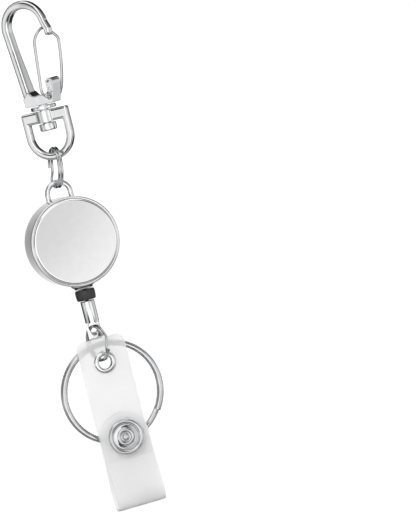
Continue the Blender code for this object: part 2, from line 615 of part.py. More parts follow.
def strap(ring):
    """The vinyl strap: a back leg with the eyelet and the stud, a front flap with the socket and cap."""
    back = frame("strap_sway", (0, STRAP_Y, EYELET_Z + 1.0), ring)
    half = STRAP_SHEET / 2
    flap = frame("snap_flap", (STRAP_X, *FOLD), back)
    legs = []
    for name, parent, y, top, side, corner in (
        ("strap_back", back, STRAP_Y, STRAP_TOP, 1, STRAP_CORNER),
        ("strap_flap", flap, FLAP_Y, FLAP_TOP, -1, STRAP_WIDTH / 2),
    ):
        bm = sheet(leg_line(y, top, side, corner), STRAP_WIDTH, STRAP_SHEET, corner)
        legs.append(body(name, bm, VINYL, parent, (STRAP_X, 0, 0)))
    leg, front = legs

    eye, snap = (STRAP_X, 0, EYELET_Z), (STRAP_X, 0, SNAP_Z)
    barrel, neck = EYELET[1] / 2 + 0.35, 1.5
    holes = ((leg, eye, barrel + GAP), (leg, snap, neck + GAP), (front, snap, neck + GAP))
    for piece, place, radius in holes:
        drill = turned([(0, -8), (radius, -8), (radius, 4), (0, 4)], 24, "Y")
        punch = body(f"punch_{piece.name}_{radius:.0f}", drill, VINYL, piece.parent, place)
        boolean(piece, punch, "DIFFERENCE")

    near, far = STRAP_Y - half - GAP, STRAP_Y + half + GAP
    hole, rim = EYELET[1] / 2, EYELET[0] / 2
    flange = [(hole, near - 0.35), (hole + 0.35, near - 0.55), (rim - 0.4, near - 0.5), (rim, near - 0.2)]
    flange += [(rim, near), (barrel, near), (barrel, far + 0.45), (hole, far + 0.45)]
    fitting("eyelet_front", back, CHROME, flange, eye)
    inner, outer = barrel + GAP, rim - 0.2
    ring = [(inner, far), (outer, far), (outer, far + 0.4), (inner, far + 0.4)]
    fitting("eyelet_back", back, CHROME, ring, eye)

    # Behind the back leg, the post's head; in front of it, the stud, whose ball goes into the socket.
    ball, pin = FLAP_Y + half + 0.75, 0.9
    head = [(0, far + 0.6), (3.6, far + 0.6), (3.9, far + 0.3), (3.9, far), (pin, far)]
    head += [(pin, ball + 0.9), (0, ball + 0.9)]
    fitting("snap_post", back, CHROME, head, snap)
    bore = pin + GAP
    stud = [(bore, near), (4.6, near), (4.6, near - 0.3), (2.2, near - 0.4)]
    stud += [(2.3, ball + 0.3), (1.9, ball), (bore, ball)]
    fitting("snap_stud", back, STEEL, stud, snap)
    inner, outer = FLAP_Y + half + GAP, FLAP_Y - half - GAP
    lip = near - 0.75
    socket = [(1.8, inner), (5.0, inner), (5.0, lip), (2.7, lip), (2.7, inner + 0.3), (1.8, inner + 0.3)]
    fitting("snap_socket", flap, STEEL, socket, snap)
    r = SNAP / 2
    cap = [(0, outer - 0.5), (0.9, outer - 0.6), (1.3, outer - 0.35), (2.9, outer - 0.45)]
    cap += [(3.4, outer - 0.95), (3.9, outer - 0.9), (4.5, outer - 0.4), (4.9, outer - 0.5)]
    cap += [(5.3, outer - 1.5), (5.8, outer - 1.6), (r, outer - 1.1), (r, outer - 0.2)]
    cap += [(r - 0.4, outer), (1.5, outer)]
    cap += [(1.5, FLAP_Y + half), (0, FLAP_Y + half)]
    fitting("snap_cap", flap, CHROME, cap, snap)


def main():
    for old in list(bpy.data.objects):
        bpy.data.objects.remove(old)
    root = frame("badge_reel", (0, 0, 0))
    hook(root)
    gate(root)
    bow = swivel(root)
    reel = upper_ring(bow)
    case(reel)
    bail(reel)
    nozzle(reel)
    spool_parts(reel)
    rod = cord_and_rod(reel)
    strap(lower_rings(rod))


main()
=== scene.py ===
"""The looks of the retractable badge reel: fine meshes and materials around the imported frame.

Lengths are in millimetres, in the frame's own axes, and are scaled to metres where meshes are made.
"""

from math import atan2, cos, pi, radians, sin, sqrt, tau

import bmesh
import bpy
from mathutils import Matrix, Vector

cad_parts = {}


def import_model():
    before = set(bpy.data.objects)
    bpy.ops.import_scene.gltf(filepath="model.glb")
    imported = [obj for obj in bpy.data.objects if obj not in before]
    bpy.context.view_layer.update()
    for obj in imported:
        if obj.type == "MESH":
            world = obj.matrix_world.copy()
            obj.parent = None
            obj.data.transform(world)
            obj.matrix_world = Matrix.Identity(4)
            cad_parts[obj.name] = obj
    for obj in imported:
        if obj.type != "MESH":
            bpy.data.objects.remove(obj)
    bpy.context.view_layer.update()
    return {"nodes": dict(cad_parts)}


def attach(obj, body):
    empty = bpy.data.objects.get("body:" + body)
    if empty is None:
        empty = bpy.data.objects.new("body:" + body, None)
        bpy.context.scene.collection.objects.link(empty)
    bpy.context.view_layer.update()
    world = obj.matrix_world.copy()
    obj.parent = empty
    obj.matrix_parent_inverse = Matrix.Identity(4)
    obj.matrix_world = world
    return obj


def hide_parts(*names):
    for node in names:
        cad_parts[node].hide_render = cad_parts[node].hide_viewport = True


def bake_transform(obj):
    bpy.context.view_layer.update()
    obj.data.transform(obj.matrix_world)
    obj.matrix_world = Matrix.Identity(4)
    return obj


MM = 0.001

# Snap hook and swivel
HOOK_TURN = radians(-48.5)
HOOK_X = 1.8
HEAD_CENTRE = (0.9, -6.4)
HEAD_RADIUS = 7.9
ARM_FOOT = (-4.2, -31.6)
ARM_TOP = (-6.35, -13.5)
NOSE_BEND = (9.85, -8.6)
NOSE_TIP = (9.55, -10.7)
BAR_WIDE, BAR_DEEP, BASE_DEPTH = 3.0, 3.4, 5.0
NOSE_TAPER = (0.75, 0.7)
STUB = (6.5, 1.45)
STUB_TOP = -25.0
RECESS = (6.4, -28.0, 0.9, 2.2, 0.7)
GATE_PIVOT = (5.4, -31.4)
GATE_WIRE = 1.0
GATE_SPREAD = 3.9
FOOT_HOLE = 0.85
RIVET_BORE = 1.8
HOOK_GRAIN, BOW_GRAIN = (0.15, 0.11), (0.12, 0.09)  # voxel sizes: quick, full
BOW_TURN = radians(-38.5)
BOW_TOP, BOW_BAR_BOTTOM, BOW_BOTTOM = -35.6, -39.8, -53.2
BOW_HALF, BOW_BAR, BOW_DEPTH = 8.9, 2.45, 2.8

# Split rings: outer diameter, wire across, wire along the axis
UPPER_RING = (14.7, 0.95, 0.95)
UPPER_TOP, UPPER_FOOT = (2.0, 0.0, -49.0), (-0.15, 1.5, -62.75)
LOWER_RING = (13.2, 0.9, 0.85)
LOWER_CENTRE, LOWER_TURN = (0.0, 0.0, -118.6), radians(16.5)
KEY_RING = (36.7, 2.1, 1.5)
KEY_CENTRE = (1.6, 3.4, -136.75)
RING_STEP = radians(40)
COIL_GAP = 0.1

# Reel
CASE_Z = -82.1
CUP_RADIUS, CUP_BACK, CUP_RIM, CUP_CORNER, SHEET = 15.75, 6.0, -5.3, 1.0, 0.6
COVER_FACE, COVER_EDGE, COVER_RADIUS = -6.2, -1.5, 14.85
CROWN, COVER_SHOULDER, COVER_SHEET = 0.18, 0.9, 0.9
NECK_BORE = 2.3
WIRE_TRIM = 0.95  # a round wire of the same clearance as the faceted one
BAIL_WIRE, BAIL_WIDTH, BAIL_TOP, BAIL_Y, BAIL_END = 1.75, 10.0, -60.0, 1.5, -69.0
BAIL_STRAIGHT, BAIL_HOLE, BAIL_HOLE_Z = -67.0, 1.05, -65.5
NOZZLE_TOP, NOZZLE_LEDGE, NOZZLE_BOTTOM = -95.2, -96.9, -98.9
NOZZLE_NECK, SADDLE_TOP = 2.0, -93.2
CORD = 0.9
STOPPER = (7.1, -99.3, -103.0)
ROD = (5.0, -103.3, -117.3)
ROD_BORE, ROD_CUT, TONGUE_FRONT, TONGUE_HOLE, TONGUE_HOLE_Z = 2.9, -110.9, 0.4, 3.3, -112.9
TAIL_BOTTOM = -107.0

# Strap
STRAP_WIDTH, STRAP_SHEET, STRAP_X, STRAP_TOP, STRAP_Y = 17.4, 0.55, 0.6, -117.0, -0.8
STRAP_CORNER, STRAIGHT_END = 2.8, -160.0
FLAP_Y, FOLD = -3.2, (-2.2, -177.0)
EYELET_Z, EYELET_HOLE, EYELET_RIM = -125.6, 4.5, 8.0
SNAP_Z, SNAP, SNAP_DRILL = -152.3, 12.6, 1.7
GAP = 0.3

# Camera and light
CAMERA_AZIMUTH, CAMERA_RISE, CAMERA_LEAN = radians(-15), radians(4.5), radians(14.0)
CAMERA_DISTANCE = 1200.0
FRAME_HEIGHT = 177.9
CAMERA_AIM = (42.6, -12.8, -98.5)
SENSOR = 36.0
KEY_POWER, KEY_SIZE = 12.0, 900.0
KEY_PLACE, KEY_AIM = (-700.0, -900.0, 750.0), (0.0, 0.0, -90.0)
SWEEP_RADIUS, SWEEP_HEIGHT, SWEEP_CURVE, FLOOR_Z = 15000.0, 15000.0, 800, -900.0

# The world's brightness by degrees from an axis, set for the photograph's view. The tent's axis
# is that view's line of sight. Each flag dims what it covers and each softbox adds to it.
TENT = (
    (0, 0.9), (30, 0.95), (35, 0.92), (40, 0.06), (52, 0.04), (62, 0.08), (72, 0.42), (90, 0.36),
    (108, 0.18), (118, 0.015), (144, 0.015), (152, 0.32), (162, 0.55), (171, 0.7),
)
FLAGS = (((0.12, -0.98, 0.06), ((0, 0.5), (8, 0.57), (20, 1.0), (25, 1.0))),)
SOFTBOXES = (
    ((-0.88, -0.47, -0.08), ((0, 0.7), (5, 0.62), (10, 0.0))),
    ((-0.985, -0.14, -0.08), ((0, 0.34), (8, 0.3), (15, 0.0))),
    ((0.58, -0.81, -0.1), ((0, 0.8), (9, 0.75), (17, 0.0))),
    ((0.97, 0.17, -0.16), ((0, 0.42), (14, 0.38), (22, 0.0))),
    ((0.0, -0.2, 1.0), ((0, 0.15), (18, 0.6), (32, 0.6), (42, 0.0))),
)
WORLD_STRENGTH = 1.4


# Materials


class Nodes:
    """A short way to write node trees."""

    def __init__(self, tree):
        self.tree = tree

    def add(self, kind, settings=(), **inputs):
        node = self.tree.nodes.new(kind)
        for name, value in dict(settings).items():
            setattr(node, name, value)
        for name, value in inputs.items():
            self.feed(node, name.replace("_", " "), value)
        return node

    def feed(self, node, name, value):
        socket = node.inputs[name]
        if hasattr(value, "bl_idname") and hasattr(value, "is_linked"):
            self.tree.links.new(value, socket)
        else:
            socket.default_value = value

    def noise(self, scale, detail=3.0, stretch=None):
        """Noise in the object's own coordinates, with its scale per millimetre."""
        place = self.add("ShaderNodeTexCoord").outputs["Object"]
        if stretch:
            mapping = self.add("ShaderNodeMapping", Vector=place, Scale=stretch)
            place = mapping.outputs["Vector"]
        node = self.add("ShaderNodeTexNoise", Vector=place, Scale=scale / MM, Detail=detail)
        return node.outputs["Fac"]

    def ramp(self, fac, low, high):
        """The factor's middle range spread between two numbers."""
        node = self.add("ShaderNodeMapRange", Value=fac)
        for name, value in (("From Min", 0.3), ("From Max", 0.7), ("To Min", low), ("To Max", high)):
            node.inputs[name].default_value = value
        return node.outputs["Result"]

    def mix(self, fac, first, second):
        node = self.add("ShaderNodeMix", {"data_type": "RGBA"})
        self.feed(node, 0, fac)
        for index, value in ((6, first), (7, second)):
            self.feed(node, index, (*value, 1.0) if isinstance(value, tuple) else value)
        return node.outputs[2]

    def mottle(self, fac, first, second):
        """Two colours over the factor's middle range."""
        return self.mix(self.ramp(fac, 0.0, 1.0), first, second)

    def bump(self, height, depth, normal=None):
        """A bump whose full height is a depth in millimetres."""
        node = self.add("ShaderNodeBump", Height=height, Strength=1.0, Distance=depth * MM)
        if normal:
            self.feed(node, "Normal", normal)
        return node.outputs["Normal"]


def principled(name, **inputs):
    made = bpy.data.materials.new(name)
    made.use_nodes = True
    nodes = Nodes(made.node_tree)
    shader = made.node_tree.nodes["Principled BSDF"]
    for key, value in inputs.items():
        nodes.feed(shader, key.replace("_", " "), value)
    return made, nodes, shader


def chrome(name, tint, shade, rough, waviness):
    """Nickel-chrome plate: a faint waviness, hairline wear and patches of handling haze."""
    made, nodes, shader = principled(name, Metallic=1.0)
    patches = nodes.noise(0.35, 4.0)
    hair = nodes.noise(2.2, 2.0, stretch=(1.0, 1.0, 0.06))
    nodes.feed(shader, "Base Color", nodes.mottle(patches, tint, shade))
    nodes.feed(shader, "Roughness", nodes.ramp(hair, *rough))
    wave = nodes.bump(nodes.noise(0.6, 2.0), waviness)
    nodes.feed(shader, "Normal", nodes.bump(hair, waviness * 0.25, wave))
    return made


def steel():
    """Blued spring steel and plain washers: darker, rougher, with a rolled grain."""
    made, nodes, shader = principled("steel", Metallic=1.0)
    grain = nodes.noise(3.0, 3.0, stretch=(1.0, 0.08, 1.0))
    nodes.feed(shader, "Base Color", nodes.mottle(grain, (0.5, 0.51, 0.53), (0.34, 0.35, 0.38)))
    nodes.feed(shader, "Roughness", nodes.ramp(grain, 0.28, 0.45))
    nodes.feed(shader, "Normal", nodes.bump(grain, 0.004))
    return made


def rubber():
    """Black rubber with a mould's fine grain, dusty where it is handled."""
    made, nodes, shader = principled("rubber", Specular_IOR_Level=0.45)
    grain = nodes.noise(7.0, 3.0)
    dust = nodes.noise(0.5, 5.0)
    nodes.feed(shader, "Base Color", nodes.mottle(dust, (0.012, 0.012, 0.013), (0.05, 0.05, 0.052)))
    nodes.feed(shader, "Roughness", nodes.ramp(dust, 0.28, 0.5))
    nodes.feed(shader, "Normal", nodes.bump(grain, 0.01))
    return made


def vinyl():
    """Frosted clear vinyl: calendered grain, soft ripples, cloudy patches, and painted shade where the
    sheet is seen edge-on.
    """
    made, nodes, shader = principled("vinyl", Transmission_Weight=0.6, IOR=1.25, Specular_IOR_Level=0.35)
    cloud = nodes.noise(0.12, 3.0)
    grain = nodes.noise(5.0, 3.0)
    ripple = nodes.noise(0.1, 2.0, stretch=(0.6, 1.0, 1.6))
    tint = nodes.mottle(cloud, (0.96, 0.96, 0.96), (0.91, 0.91, 0.912))
    # Painted shade: the base colour darkens to grey where the sheet is seen edge-on, standing in for the
    # dark rims of a clear sheet.
    edge = nodes.add("ShaderNodeLayerWeight", Blend=0.3).outputs["Facing"]
    nodes.feed(shader, "Base Color", nodes.mix(edge, tint, (0.6, 0.6, 0.605)))
    nodes.feed(shader, "Roughness", nodes.ramp(cloud, 0.28, 0.42))
    nodes.feed(shader, "Normal", nodes.bump(grain, 0.003, nodes.bump(ripple, 0.06)))
    return made


def moulded():
    """Black moulded plastic of the spool, with a matte sparked grain."""
    made, nodes, shader = principled("spool_plastic")
    grain = nodes.noise(4.0, 4.0)
    nodes.feed(shader, "Base Color", nodes.mottle(grain, (0.03, 0.03, 0.033), (0.055, 0.055, 0.06)))
    nodes.feed(shader, "Roughness", nodes.ramp(grain, 0.42, 0.6))
    nodes.feed(shader, "Normal", nodes.bump(grain, 0.012))
    return made


def cord_material():
    """Braided nylon: a fine crossed weave with a slight sheen."""
    made, nodes, shader = principled("cord_nylon", Sheen_Weight=0.3)
    place = nodes.add("ShaderNodeTexCoord").outputs["Object"]
    weave = []
    for lean in (1.0, -1.0):
        mapping = nodes.add("ShaderNodeMapping", Vector=place, Rotation=(lean * 0.8, lean * 0.6, 0.4))
        leant = mapping.outputs["Vector"]
        wave = nodes.add("ShaderNodeTexWave", Vector=leant, Scale=1.1 / MM, Distortion=1.0)
        weave.append(wave.outputs["Fac"])
    both = nodes.add("ShaderNodeMath", {"operation": "MAXIMUM"})
    nodes.feed(both, 0, weave[0])
    nodes.feed(both, 1, weave[1])
    fac = both.outputs["Value"]
    nodes.feed(shader, "Base Color", nodes.mix(fac, (0.008, 0.008, 0.009), (0.05, 0.05, 0.053)))
    nodes.feed(shader, "Roughness", nodes.ramp(fac, 0.75, 0.5))
    nodes.feed(shader, "Normal", nodes.bump(fac, 0.05))
    return made


# Mesh tools


def finished(name, bm, look, at=(0, 0, 0), turn=0.0, smooth=40):
    """A mesh object from a bmesh in millimetres, with its place and turn held in the vertices."""
    bmesh.ops.rotate(bm, verts=bm.verts, cent=(0, 0, 0), matrix=Matrix.Rotation(turn, 3, "Z"))
    bmesh.ops.translate(bm, verts=bm.verts, vec=at)
    bmesh.ops.scale(bm, vec=(MM, MM, MM), verts=bm.verts)
    bmesh.ops.recalc_face_normals(bm, faces=bm.faces)
    mesh = bpy.data.meshes.new(name)
    bm.to_mesh(mesh)
    bm.free()
    mesh.shade_smooth()
    mesh.set_sharp_from_angle(angle=radians(smooth))
    made = bpy.data.objects.new(name, mesh)
    bpy.context.scene.collection.objects.link(made)
    mesh.materials.append(look)
    return made


def settled(piece, smooth=40):
    """The piece with its modifiers made real."""
    graph = bpy.context.evaluated_depsgraph_get()
    mesh = bpy.data.meshes.new_from_object(piece.evaluated_get(graph))
    piece.modifiers.clear()
    piece.data = mesh
    mesh.shade_smooth()
    mesh.set_sharp_from_angle(angle=radians(smooth))
    return piece


def carve(piece, steps):
    """Booleans on the piece by (operation, tool), after which the tools are gone."""
    for operation, tool in steps:
        modifier = piece.modifiers.new(tool.name, "BOOLEAN")
        modifier.operation = operation
        modifier.object = tool
    settled(piece)
    for _, tool in steps:
        bpy.data.objects.remove(tool)
    return piece


def cast(piece, grain, passes):
    """The piece remeshed finely and smoothed, which rounds its edges and fills its inner corners."""
    remesh = piece.modifiers.new("cast", "REMESH")
    remesh.mode = "VOXEL"
    remesh.voxel_size = grain * MM
    soft = piece.modifiers.new("soft", "SMOOTH")
    soft.factor = 0.5
    soft.iterations = passes
    return settled(piece, 180)


def bevelled(piece, width, segments=3, angle=40):
    bevel = piece.modifiers.new("edges", "BEVEL")
    bevel.width = width * MM
    bevel.segments = segments
    bevel.limit_method = "ANGLE"
    bevel.angle_limit = radians(angle)
    bevel.harden_normals = False
    return settled(piece)


def turned(profile, steps=96, axis="Z"):
    """A closed solid of revolution from a closed outline of (radius, height) points."""
    bm = bmesh.new()
    ring = [bm.verts.new((r, 0, h)) for r, h in profile]
    edges = [bm.edges.new(pair) for pair in zip(ring, ring[1:] + ring[:1])]
    bmesh.ops.spin(
        bm, geom=ring + edges, cent=(0, 0, 0), axis=(0, 0, 1), angle=tau, steps=steps, use_merge=True
    )
    bmesh.ops.remove_doubles(bm, verts=bm.verts, dist=1e-4)
    bmesh.ops.delete(bm, geom=[e for e in bm.edges if not e.link_faces], context="EDGES")
    if axis == "Y":
        bmesh.ops.rotate(bm, verts=bm.verts, cent=(0, 0, 0), matrix=Matrix.Rotation(-pi / 2, 3, "X"))
    return bm


def eased(t):
    t = min(max(t, 0.0), 1.0)
    return t * t * (3 - 2 * t)


def arc(centre, radius, start, end, steps):
    """Points on an arc, in degrees."""
    turns = [radians(start + (end - start) * i / steps) for i in range(steps + 1)]
    return [(centre[0] + radius * cos(a), centre[1] + radius * sin(a)) for a in turns]


def rounded(outline, radius, steps=5):
    """A closed outline with each corner replaced by a curve. A radius per corner may be given."""
    radii = radius if isinstance(radius, (list, tuple)) else [radius] * len(outline)
    points = [Vector(p) for p in outline]
    made = []
    for i, (here, r) in enumerate(zip(points, radii)):
        before, after = points[i - 1], points[(i + 1) % len(points)]
        if r <= 0:
            made.append(tuple(here))
            continue
        a = here + (before - here).normalized() * min(r, (before - here).length * 0.49)
        b = here + (after - here).normalized() * min(r, (after - here).length * 0.49)
        for k in range(steps + 1):
            t = k / steps
            made.append(tuple(a * (1 - t) ** 2 + here * 2 * t * (1 - t) + b * t * t))
    return made


def extruded(outline, low, high):
    """A prism from an (x, z) outline, between two y values."""
    bm = bmesh.new()
    face = bm.faces.new([bm.verts.new((x, low, z)) for x, z in outline])
    grown = bmesh.ops.extrude_face_region(bm, geom=[face])
    moved = [v for v in grown["geom"] if isinstance(v, bmesh.types.BMVert)]
    bmesh.ops.translate(bm, verts=moved, vec=(0, high - low, 0))
    return bm


def smooth_route(points, steps):
    """Points on a Catmull-Rom curve through the given points."""
    given = [Vector(p) for p in points]
    ends = [2 * given[0] - given[1]] + given + [2 * given[-1] - given[-2]]
    route = []
    for a, b, c, d in zip(ends, ends[1:], ends[2:], ends[3:]):
        for k in range(steps):
            t = k / steps
            bend = (2 * a - 5 * b + 4 * c - d) * t**2 + (3 * b - a - 3 * c + d) * t**3
            route.append(0.5 * (2 * b + (c - a) * t + bend))
    return route + [given[-1]]


def loft(rings):
    """A closed body through rings of points that have the same count, with its ends filled."""
    bm = bmesh.new()
    made = [[bm.verts.new(p) for p in ring] for ring in rings]
    count = len(made[0])
    for here, there in zip(made, made[1:]):
        for k in range(count):
            n = (k + 1) % count
            bm.faces.new((here[k], here[n], there[n], there[k]))
    bm.faces.new(made[0][::-1])
    bm.faces.new(made[-1])
    return bm


def tube(points, radius, sides=20, flatten=1.0, flat_axis=None, dome=0.5):
    """A wire along a list of points, oval if flattened, whose ends are rounded off."""
    path = [Vector(p) for p in points]
    last = len(path) - 1
    tangents = [(path[min(i + 1, last)] - path[max(i - 1, 0)]).normalized() for i in range(last + 1)]
    across = Vector(flat_axis) if flat_axis else tangents[0].orthogonal()
    stations = []
    for point, tangent in zip(path, tangents):
        across = (across - tangent * across.dot(tangent)).normalized()
        stations.append((point, tangent, across.copy(), 1.0))
    caps = [(sin(a), cos(a)) for a in (radians(15), radians(45), radians(75))]
    first, final = stations[0], stations[-1]
    reach = radius * dome
    head = [(first[0] - first[1] * (reach * up - reach), *first[1:3], side) for up, side in caps[::-1]]
    tail = [(final[0] + final[1] * (reach * up - reach), *final[1:3], side) for up, side in caps]
    stations = head + [(first[0] + first[1] * reach, *first[1:])] + stations[1:-1] + tail
    rings = []
    for point, tangent, side, size in stations:
        beside = tangent.cross(side)
        turns = [tau * (k + 0.5) / sides for k in range(sides)]
        wide, high = radius * flatten * size, radius * size
        rings.append([point + side * (wide * cos(a)) + beside * (high * sin(a)) for a in turns])
    return loft(rings)


def split_ring(size, per_turn, sides=20):
    """A split ring of two coils around X; the wire steps across at the top."""
    outer, radial, axial = size
    middle = (outer - radial) / 2
    pitch = axial + COIL_GAP
    start, end = RING_STEP / 2 + 0.06, 2 * tau - RING_STEP / 2 - 0.06
    count = round(per_turn * (end - start) / tau)
    points = []
    for i in range(count + 1):
        angle = start + (end - start) * i / count
        side = eased((angle - tau + RING_STEP / 2) / RING_STEP) - 0.5
        points.append((pitch * side, middle * sin(angle), middle * cos(angle)))
    return tube(points, radial / 2 * WIRE_TRIM, sides, axial / radial, (1, 0, 0), 0.25)


def dress(piece, body, slot, *nodes):
    """Says what the piece rides on and hides the frame's nodes that it stands for; the finish given as slot
    is not used.
    """
    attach(piece, body)
    for node in nodes:
        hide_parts(node)
    return piece


# Hook and swivel


def hook_bar():
    """The arm, head and nose: a bar with softened corners, tapered to the nose."""
    middle = [(a + b) / 2 for a, b in zip(ARM_FOOT, ARM_TOP)]
    stations = [(*ARM_FOOT, BAR_WIDE, BASE_DEPTH), (*middle, BAR_WIDE, (BASE_DEPTH + BAR_DEEP) / 2)]
    stations.append((*ARM_TOP, BAR_WIDE, BAR_DEEP))
    thinner, shallower = NOSE_TAPER
    for x, z in arc(HEAD_CENTRE, HEAD_RADIUS, 184, 4, 48):
        reach = eased((x - HEAD_CENTRE[0]) / HEAD_RADIUS)
        stations.append((x, z, BAR_WIDE - thinner * reach, BAR_DEEP - shallower * reach))
    size = stations[-1][2:]
    stations += [(*NOSE_BEND, *size), (NOSE_BEND[0] - 0.08, -9.8, 2.15, 2.6), (*NOSE_TIP, 1.75, 2.2)]
    rings = []
    for i, (x, z, wide, deep) in enumerate(stations):
        before, after = stations[max(i - 1, 0)], stations[min(i + 1, len(stations) - 1)]
        along = Vector((after[0] - before[0], after[1] - before[1])).normalized()
        out = Vector((-along.y, along.x))
        square = [(wide / 2 * u, deep / 2 * v) for u, v in ((1, 1), (-1, 1), (-1, -1), (1, -1))]
        section = rounded(square, 0.36 * min(wide, deep), 6)
        rings.append([(x + out.x * u, v, z + out.y * u) for u, v in section])
    return loft(rings)


def hook_base():
    """The base and the gate's stub."""
    floor = arc((-0.6, -28.1), 2.2, 220, 290, 14)
    middle, half = STUB
    outline = [(-5.7, -33.6), (6.2, -33.6), (middle + half, -27.2)]
    outline += arc((middle, STUB_TOP - half), half, 0, 180, 24)
    outline += [(middle - half, -29.4), (3.4, -30.3)] + floor[::-1] + [(-3.2, -28.4), (-5.9, -30.6)]
    return extruded(outline, -BASE_DEPTH / 2, BASE_DEPTH / 2)


def hook(look):
    """The casting, with its fillets, the stub's hollows and the pivots' holes."""
    base = finished("hook_casting", hook_base(), look)
    steps = [("UNION", finished("bar", hook_bar(), look))]
    hole = turned([(0, -31.5), (RIVET_BORE, -31.5), (RIVET_BORE, -35), (0, -35)], 48)
    steps.append(("DIFFERENCE", finished("rivet_hole", hole, look)))
    x, z, wide, high, deep = RECESS
    oval = [(x + wide * cos(a), z + high * sin(a)) for a in (tau * k / 40 for k in range(40))]
    pivot_x, pivot_z = GATE_PIVOT
    for sign in (-1, 1):
        low, top = sorted((sign * (BASE_DEPTH / 2 - deep), sign * BASE_DEPTH))
        steps.append(("DIFFERENCE", finished(f"recess_{sign}", extruded(oval, low, top), look)))
        low, top = sorted((sign * 1.8, sign * 4.0))
        drill = turned([(FOOT_HOLE, low), (0, low), (0, top), (FOOT_HOLE, top)], 32, "Y")
        steps.append(("DIFFERENCE", finished(f"foot_{sign}", drill, look, (pivot_x, 0, pivot_z))))
    carve(base, steps)
    cast(base, HOOK_GRAIN[1], 7)
    place = Matrix.Translation((HOOK_X * MM, 0, 0)) @ Matrix.Rotation(HOOK_TURN, 4, "Z")
    base.data.transform(place)
    dress(base, "hook", "chrome", "hook_body")


def gate(look):
    x, z = GATE_PIVOT
    s = GATE_SPREAD
    route = [
        (x, -2.1, z), (x, -s + 0.5, z), (x - 0.4, -s, z + 0.5), (3.7, -s, -29.2), (4.2, -s, -24.0),
        (5.0, -s, -17.5), (5.7, -s, -12.6), (6.3, -3.1, -10.2), (7.2, -1.7, -8.5), (7.75, 0.0, -7.9),
        (8.1, 1.7, -8.6), (9.2, 3.1, -10.3), (10.2, s, -12.2), (10.3, s, -14.2), (9.3, s, -20.5),
        (7.6, s, -27.0), (x + 0.7, s, z + 1.1), (x, s - 0.4, z), (x, 2.1, z),
    ]
    bm = tube(smooth_route(route, 9), GATE_WIRE / 2, 20)
    dress(finished("gate_loop", bm, look, (HOOK_X, 0, 0), HOOK_TURN), "gate", "chrome", "gate_wire")


def swivel(look):
    at = (HOOK_X, 0, 0)
    rivet = [(0, -31.8), (1.5, -31.8), (1.5, -40.1), (3.05, -40.1), (3.05, -42.8), (0, -42.8)]
    bm = turned(rounded(rivet, (0, 0.2, 0.15, 0.3, 0.6, 0), 6))
    dress(finished("rivet", bm, look, at), "hook", "chrome", "swivel_rivet")
    ring = [(RIVET_BORE, -33.9), (4.5, -33.9), (4.5, -35.3), (RIVET_BORE, -35.3)]
    bm = turned(rounded(ring, (0.1, 0.35, 0.35, 0.1), 6))
    dress(finished("washer", bm, look, at), "hook", "chrome", "swivel_washer")

    curve = (0, BOW_BOTTOM + BOW_HALF)
    inner = BOW_HALF - BOW_BAR
    outside = [(BOW_HALF, BOW_TOP)] + arc(curve, BOW_HALF, 0, -180, 64) + [(-BOW_HALF, BOW_TOP)]
    inside = [(inner, BOW_BAR_BOTTOM)] + arc(curve, inner, 0, -180, 64) + [(-inner, BOW_BAR_BOTTOM)]
    bow = finished("bow", extruded(outside, -BOW_DEPTH / 2, BOW_DEPTH / 2), look)
    window = finished("window", extruded(inside, -BOW_DEPTH, BOW_DEPTH), look)
    carve(bow, [("DIFFERENCE", window)])
    bevelled(bow, 0.8, 5, 50)
    boss = turned([(0, BOW_TOP), (3.2, BOW_TOP), (3.2, BOW_BAR_BOTTOM), (0, BOW_BAR_BOTTOM)], 72)
    hole = turned([(0, -33), (RIVET_BORE, -33), (RIVET_BORE, -42), (0, -42)], 48)
    carve(bow, [("UNION", finished("boss", boss, look)), ("DIFFERENCE", finished("hole", hole, look))])
    cast(bow, BOW_GRAIN[1], 9)
    place = Matrix.Translation((HOOK_X * MM, 0, 0)) @ Matrix.Rotation(BOW_TURN, 4, "Z")
    bow.data.transform(place)
    dress(bow, "bow", "chrome", "swivel_bow")


def rings(look):
    """The upper ring, turned to hang from the bow to the bail, then the lower ring and the key ring."""
    top, foot = Vector(UPPER_TOP), Vector(UPPER_FOOT)
    down = (foot - top).normalized()
    normal = Vector((1, 0, 0))
    normal = (normal - down * normal.dot(down)).normalized()
    beside = -down.cross(normal)
    tilt = Matrix((normal, -beside, -down)).transposed()
    bm = split_ring(UPPER_RING, 96)
    bmesh.ops.rotate(bm, verts=bm.verts, cent=(0, 0, 0), matrix=tilt @ Matrix.Rotation(2.1, 3, "X"))
    ring = finished("upper_ring_wire", bm, look, (top + foot) / 2)
    dress(ring, "upper_ring", "chrome", "upper_split_ring")
    bm = split_ring(LOWER_RING, 96)
    bmesh.ops.rotate(bm, verts=bm.verts, cent=(0, 0, 0), matrix=Matrix.Rotation(pi / 2, 3, "X"))
    ring = finished("lower_ring_wire", bm, look, LOWER_CENTRE, LOWER_TURN)
    dress(ring, "lower_ring", "chrome", "lower_split_ring")
    bm = split_ring(KEY_RING, 144, 24)
    bmesh.ops.rotate(bm, verts=bm.verts, cent=(0, 0, 0), matrix=Matrix.Rotation(radians(150), 3, "X"))
    dress(finished("key_ring_wire", bm, look, KEY_CENTRE, pi / 2), "keys_ring", "chrome", "key_ring")


# Reel


